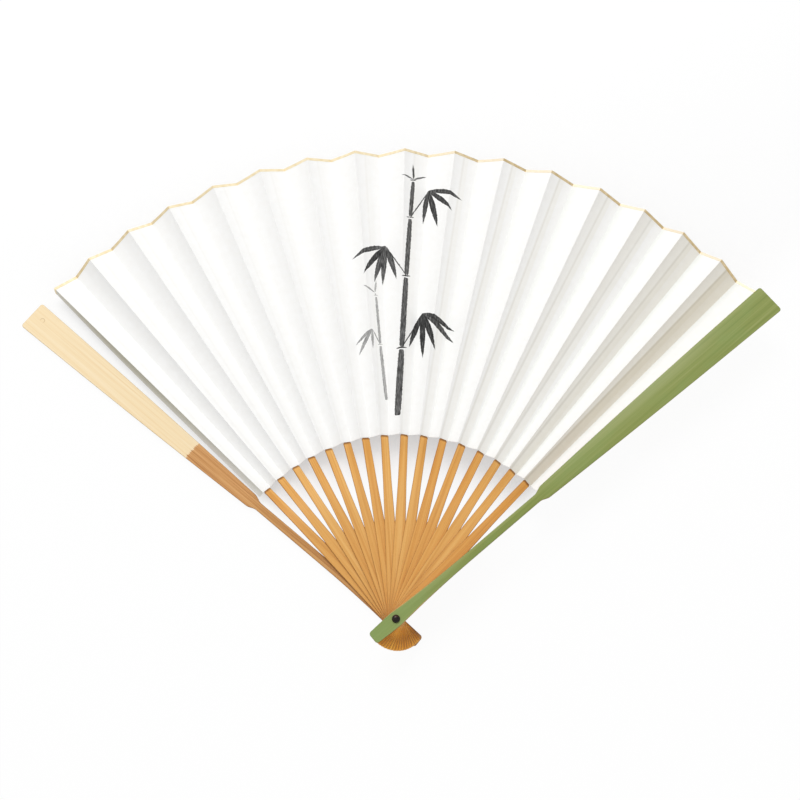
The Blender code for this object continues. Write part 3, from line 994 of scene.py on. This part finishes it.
def leaf_paper(name, painted):
    """White paper: soft fibres, faint mottling, and a warmer tone where bamboo lies behind it. Painted shade
    darkens it towards the right, beside each tongue, on the last pleats, in the valleys and on the hanging
    flap.
    """
    material, tree = new_material(name)
    leaf = map_of(tree, "leaf")
    mottle = noise(leaf, 260.0, 3.0)
    pulp = noise(leaf, 2600.0, 4.0, Roughness=0.65, Distortion=1.2)
    cockle = noise(leaf, 55.0, 2.0)
    white = ramp(mottle, (0.35, 0.94, 0.935, 0.918), (0.65, 0.955, 0.953, 0.942))
    colour = tint(times(between(pulp, 0.66, 0.76), 0.1), white, (0.8, 0.76, 0.68))
    climb = attribute(tree, "climb")
    reach = reach_of(leaf)
    heading = heading_of(leaf)
    # Painted shade: the paper is made darker and warmer towards the right, where the rib slopes face away
    # from the lamp. The same share also scales the painted shades below.
    right_side_shade = between_degrees(heading, -12, 36)
    colour = tint(right_side_shade, colour, (0.98, 0.978, 0.974))
    # The warmer tone where bamboo lies behind the paper is its own, but it is made stronger towards the
    # right as painted shade.
    backed = times(spread(right_side_shade, 0.10, 1.0), attribute(tree, "backed"))
    colour = tint(backed, colour, (0.962, 0.952, 0.92))
    channel = spread(reach, channel_half_width(LEAF_INNER), channel_half_width(LEAF_OUTER),
                     LEAF_INNER, LEAF_OUTER)
    past_tongue = plus(attribute(tree, "across"), channel)
    # Painted shade on the band between a tongue and its mountain fold, on the pleats towards the right.
    upper = between(past_tongue, 0.0, -GROOVE_WIDTH)
    stain_and_painted_shade = times(upper, between_degrees(heading, 16, 38))
    colour = tint(stain_and_painted_shade, colour, (0.935, 0.915, 0.865))
    # Painted shade: the glued slopes of the last pleats are darker and browner, weaker on the band by the
    # mountain fold.
    last_pleats_shade = times(between_degrees(heading, 33, 44.5), attribute(tree, "glued"))
    colour = tint(times(last_pleats_shade, spread(upper, 1.0, 0.2)), colour, (0.82, 0.785, 0.7))
    # Painted shadow: a soft dark line along the tongue's edge on the mountain side, stronger towards the
    # right.
    groove_shade = between(reckon("ABSOLUTE", past_tongue), GROOVE_WIDTH, 0.0)
    colour = tint(times(groove_shade, spread(right_side_shade, 0.2, 1.0)), colour, (0.872, 0.864, 0.842))
    # Painted shade in the valley folds of the free slopes, towards the right.
    valley = times(between(climb, 0.32, 0.0), right_side_shade, minus(1.0, attribute(tree, "glued")))
    colour = tint(valley, colour, (0.9, 0.92, 0.9))
    # Painted shade on the hanging end flap.
    colour = tint(attribute(tree, "flap_shade"), colour, FLAP_SHADE_TINT)
    if painted:
        colour = tint(1.0, colour, ink_painting(tree, leaf))
    hollow = times(climb, minus(climb, 1.0), reach, PAPER_HOLLOW)
    tooth = bump(pulp, 0.25, 0.00005, Normal=bump(hollow, 1.0, 1.0))
    surface(colour, 0.85, Specular_IOR_Level=0.3, Normal=bump(cockle, 0.5, 0.0004, Normal=tooth))
    return material


def gold_paper():
    """Thin gold paper of the edge: satin metal powder. Painted light makes it paler where its slopes face
    the lamp, mostly on the left and on free slopes, and painted shade makes it a deeper gold where they face
    away.
    """
    material, tree = new_material("gold_edge_paper")
    leaf = map_of(tree, "leaf")
    powder = noise(leaf, 5200.0, 2.0)
    worn = noise(leaf, 420.0, 3.0)
    deep = ramp(worn, (0.35, 0.55, 0.42, 0.22), (0.55, 0.64, 0.51, 0.3), (0.72, 0.73, 0.61, 0.4))
    wear_and_painted_light = ramp(worn, (0.35, 0.81, 0.68, 0.44), (0.55, 0.87, 0.76, 0.53), (0.72, 0.91, 0.82, 0.63))
    heading = heading_of(leaf)
    glued = attribute(tree, "glued")
    # Painted light and shade: the pale gold where a slope faces the lamp, the deep gold where it faces away,
    # and a still paler painted highlight on the free slopes on the right.
    right = between_degrees(heading, -5, 15)
    free = minus(0.6, glued, clamp=True)
    far_left = times(between_degrees(heading, -12, -35), free)
    colour = blend(plus(times(right, glued), far_left), wear_and_painted_light, deep)
    colour = blend(times(right, free), colour, (0.75, 0.67, 0.56))
    surface(colour, spread(worn, 0.46, 0.56), Metallic=0.75, Normal=bump(powder, 0.3, 0.00003))
    return material


strokes = painted_strokes()
painted_headings = []
for start, heading, length, *rest in strokes:
    along = Vector((math.cos(math.radians(heading)), math.sin(math.radians(heading))))
    painted_headings += [math.atan2(place.x, place.y) for place in (start, start + along * length)]
plain_material = leaf_paper("white_leaf_paper", False)
painted_material = leaf_paper("painted_leaf_paper", True)
gold_material = gold_paper()


def paper_at(heading):
    """The painted paper where the painting reaches, and the plain paper elsewhere."""
    margin = 2 * PLEAT_HALF_ANGLE
    reached = min(painted_headings) - margin < heading < max(painted_headings) + margin
    return painted_material if reached else plain_material


bpy.ops.mesh.primitive_cube_add(size=1, location=(0, (fold_inner + fold_outer) / 2, 0))
pocket = called("pocket_pattern")
pocket.scale = (2 * pleat_half_width(fold_outer), fold_outer - fold_inner, PLIES)
fix_place(pocket)
edit_mesh()
choose("FACE", lambda face: face.normal.y < -0.9)
bpy.ops.transform.resize(value=(fold_inner / fold_outer, 1, 1), center_override=(0, fold_inner, 0))
bpy.ops.mesh.delete(type="ONLY_FACE")
for side in (-1, 1):
    for margin in (TONGUE_MARGIN, TONGUE_MARGIN + GLUE_SLOPE):
        cut_beside_tongue(side, margin)
for reach in (*CROSS_CUTS, CHANNEL_END):
    choose_all("FACE")
    bpy.ops.mesh.bisect(plane_co=(0, reach, 0), plane_no=(0, 1, 0))
for face_side in (-1, 1):
    choose("VERT", lambda vert: vert.co.z * face_side > 0 and vert.co.y < fold_outer - 0.0001
           and over_tongue(vert))
    bpy.ops.transform.translate(value=(0, 0, face_side * TONGUE_RAISE))
close_mesh()

tape_pattern = strip_of(pocket, "tape_pattern", Vector((0, 1, 0)))
close_mesh()
thicken(tape_pattern, TAPE_THICKNESS, 1)
mark_backed(tape_pattern)
tape_pattern.rotation_euler = (0, PLEAT_TILT, 0)
fix_place(tape_pattern)
tape_pattern.data.materials.append(gold_material)

thicken(pocket, PLY, -1)
mark_backed(pocket)
mark_points(pocket, "climb", lambda vert: 0.5 - vert.co.x / 2 / pleat_half_width(vert.co.y))
pocket.rotation_euler = (0, PLEAT_TILT, 0)
fix_place(pocket)
smooth(PAPER_SHADE_DEG)

for number in range(1, RIB_COUNT + 1):
    panel = copy_of(pocket, f"paper_on_rib_{number:02d}")
    lay_on_rib(panel, number)
    map_leaf(panel)
    panel.data.materials.append(paper_at(stick_angles[number]))
    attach(panel, f"rib_{number:02d}")
    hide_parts(f"rib_panel_{number:02d}")
    tape = copy_of(tape_pattern, f"gold_edge_on_rib_{number:02d}")
    lay_on_rib(tape, number)
    map_leaf(tape)
    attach(tape, f"rib_{number:02d}")
bpy.data.objects.remove(pocket)
bpy.data.objects.remove(tape_pattern)


# Free paper between the ribs.
# The other slope of each pleat has no bamboo in it. It is bridged from one rib's valley fold to the
# next rib's mountain fold, and the last one is glued under the upper guard.
FREE_PAPER = 0.0002
FREE_HOLLOW = 0.0003
OUTER_BAND = 0.0003
FOLD_CUTS = 7
BLEND_HALF_WIDTH = 0.0023
UPPER_GUARD_BOTTOM = 0.0256
UPPER_GUARD_RISE = 0.001994
GLUE_GAP = 0.00042

leaf_end_climb = UPPER_GUARD_RISE / (LEAF_OUTER - HEAD_REACH)


def fold_line(side, tilt):
    """One fold of a rib's pleat as an edge along the rib: side -1 is the mountain, 1 the valley."""
    bpy.ops.mesh.primitive_plane_add(size=1, location=(0, (fold_inner + fold_outer) / 2, 0))
    line = bpy.context.object
    line.scale = (2 * pleat_half_width(fold_outer) * (math.cos(PLEAT_TILT) / math.cos(tilt)),
                  fold_outer - fold_inner, 1)
    fix_place(line)
    edit_mesh()
    choose("EDGE", lambda edge: abs(middle(edge).y - fold_inner) < 1e-5)
    bpy.ops.transform.resize(value=(fold_inner / fold_outer, 1, 1), center_override=(0, fold_inner, 0))
    choose("VERT", lambda vert: vert.co.x * side < 0)
    bpy.ops.mesh.delete(type="VERT")
    close_mesh()
    mark_points(line, "climb", lambda vert: 0.5 - side / 2)
    line.rotation_euler = (0, tilt, 0)
    fix_place(line)
    return line


def along_fold(edge):
    """Whether an edge runs along a fold and not across the paper."""
    return edge.calc_length() > (LEAF_OUTER - LEAF_INNER) / 2


def finish_free_paper(piece, material, thickness):
    """Thickness, map and material of a sheet that is in place."""
    thicken(piece, thickness, 0)
    smooth(PAPER_SHADE_DEG)
    map_leaf(piece)
    piece.data.materials.append(material)


for number in range(1, RIB_COUNT + 1):
    valley = fold_line(1, PLEAT_TILT)
    lay_on_rib(valley, number)
    last = number == RIB_COUNT
    mountain = fold_line(-1, 0.0 if last else PLEAT_TILT)
    if last:
        lay_stick(mountain, leaf_end_climb, UPPER_GUARD_BOTTOM - GLUE_GAP, -1)
    else:
        lay_on_rib(mountain, number + 1)
    take_up(valley)
    mountain.select_set(True)
    bpy.ops.object.join()
    link = called(f"free_paper_{number:02d}")
    link.data.name = link.name
    edit_mesh()
    choose_all("EDGE")
    bpy.ops.mesh.bridge_edge_loops()
    choose("EDGE", lambda edge: not along_fold(edge))
    bpy.ops.mesh.subdivide(number_cuts=1)
    choose("EDGE", along_fold)
    bpy.ops.mesh.subdivide(number_cuts=FOLD_CUTS)
    choose_all()
    bpy.ops.mesh.normals_make_consistent(inside=False)
    shape = bmesh.from_edit_mesh(link.data)
    climb = shape.verts.layers.float["climb"]
    for vert in shape.verts:
        if 0.25 < vert[climb] < 0.75:
            vert.co.z -= FREE_HOLLOW * radius_of(vert) / LEAF_OUTER
    bmesh.update_edit_mesh(link.data)
    close_mesh()
    heading = (stick_angles[number] + stick_angles[number + 1]) / 2
    outward = Vector((math.sin(heading), math.cos(heading), 0))
    across = Vector((math.cos(heading), -math.sin(heading), 0))
    edge = strip_of(link, f"gold_edge_free_{number:02d}", outward)
    choose("VERT", lambda vert: radius_of(vert) > LEAF_OUTER - OUTER_BAND)
    bpy.ops.transform.translate(value=outward * TAPE_THICKNESS)
    close_mesh()
    finish_free_paper(link, paper_at(heading), FREE_PAPER)
    finish_free_paper(edge, gold_material, FREE_PAPER + 2 * TAPE_THICKNESS)
    bodies = (f"rib_{number:02d}", "upper_guard" if last else f"rib_{number + 1:02d}")
    for piece, finish in ((link, "white_paper"), (edge, "gold_tape")):
        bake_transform(piece, *bodies, start=-across * BLEND_HALF_WIDTH, end=across * BLEND_HALF_WIDTH)
    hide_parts(f"link_panel_{number:02d}")


# End flap.
# The leaf's first edge was left for gluing to the lower guard. It hangs free from the first
# mountain fold, and gapes most at the leaf's inner edge.
FLAP_DROP_OUTER = 0.0067
FLAP_DROP_INNER = 0.0027
FLAP_SPLAY_OUTER = 0.001
FLAP_SPLAY_INNER = 0.003
FLAP_SPLAY_BULGE = 0.0008
FLAP_CUTS = 9
FLAP_SHADE_AT_ENDS = 0.62
FLAP_SHADE_ON_LOWER_EDGE = 0.5

flap = fold_line(-1, PLEAT_TILT)
flap.name = "end_flap_paper"
edit_mesh()
choose_all("EDGE")
bpy.ops.mesh.extrude_edges_move(TRANSFORM_OT_translate={"value": (0, 0, -FLAP_DROP_INNER)})
choose("EDGE", along_fold)
bpy.ops.mesh.subdivide(number_cuts=FLAP_CUTS)
# Painted shade: the flap's face is darkened, as it hangs in shade, most in the middle of its length and half
# as much along its lower edge.
shape = bmesh.from_edit_mesh(flap.data)
flap_shade = shape.verts.layers.float.new("flap_shade")
for vert in shape.verts:
    outer_share = min(max((vert.co.y - fold_inner) / (fold_outer - fold_inner), 0.0), 1.0)
    vert[flap_shade] = FLAP_SHADE_AT_ENDS + (1 - FLAP_SHADE_AT_ENDS) * math.sin(math.pi * outer_share ** 1.5)
    if vert.co.z < pleat_half_width(vert.co.y) * math.sin(PLEAT_TILT) - FLAP_DROP_INNER / 2:
        vert[flap_shade] *= FLAP_SHADE_ON_LOWER_EDGE
        vert.co.x -= FLAP_SPLAY_INNER + (FLAP_SPLAY_OUTER - FLAP_SPLAY_INNER) * outer_share
        vert.co.x -= FLAP_SPLAY_BULGE * math.sin(math.pi * outer_share ** 1.6)
        vert.co.z -= (FLAP_DROP_OUTER - FLAP_DROP_INNER) * outer_share
bmesh.update_edit_mesh(flap.data)
close_mesh()
lay_on_rib(flap, 1)
outward = Vector((math.sin(stick_angles[1]), math.cos(stick_angles[1]), 0))
flap_edge = strip_of(flap, "gold_edge_of_flap", outward)
close_mesh()
finish_free_paper(flap, plain_material, FREE_PAPER)
finish_free_paper(flap_edge, gold_material, FREE_PAPER + 2 * TAPE_THICKNESS)
for piece, finish in ((flap, "white_paper"), (flap_edge, "gold_tape")):
    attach(piece, "rib_01")
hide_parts("end_flap")


# Upper guard.
# The lower guard's twin, on top of the stack with its green skin up. The leaf's last pleat is
# glued under its blade.
upper_guard = make_guard("upper_guard_slat", 1)
lay_stick(upper_guard, leaf_end_climb - guard_fall, UPPER_GUARD_BOTTOM + GUARD_THICKNESS / 2, -1)
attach(upper_guard, "upper_guard")
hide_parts("upper_guard")


# Rivet cap.
# A domed cap of the same horn, set on the shank's end above the upper guard.
CAP_RADIUS = 0.00225
CAP_HEIGHT = 0.0014
CAP_BASE = 0.0285
CAP_SOCKET = 0.0016
SOCKET_DEPTH = 0.0008
CAP_RIM_ROUND = 0.00018
CAP_SHADE_DEG = 40

bpy.ops.mesh.primitive_uv_sphere_add(segments=64, ring_count=32, radius=CAP_RADIUS, location=(0, 0, 0))
rivet_cap = called("rivet_cap_dome")
edit_mesh()
choose_all()
bpy.ops.mesh.bisect(plane_co=(0, 0, 0), plane_no=(0, 0, 1), clear_inner=True, use_fill=True)
choose("FACE", lambda face: face.normal.z < -0.99)
bpy.ops.mesh.inset(thickness=CAP_RADIUS - CAP_SOCKET)
cap_flattening = CAP_HEIGHT / CAP_RADIUS
bpy.ops.mesh.extrude_region_move(TRANSFORM_OT_translate={"value": (0, 0, SOCKET_DEPTH / cap_flattening)})
choose_all()
bpy.ops.transform.resize(value=(1, 1, cap_flattening), center_override=(0, 0, 0))
choose("EDGE", lambda edge: abs(middle(edge).z) < 1e-6
       and min(map(radius_of, edge.verts)) > CAP_RADIUS - 1e-5)
bevel(CAP_RIM_ROUND, 4)
close_mesh()
rivet_cap.location = (0, 0, CAP_BASE)
fix_place(rivet_cap)
smooth(CAP_SHADE_DEG)
rivet_cap.data.materials.append(horn_material)
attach(rivet_cap, "lower_guard")
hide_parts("rivet_cap")
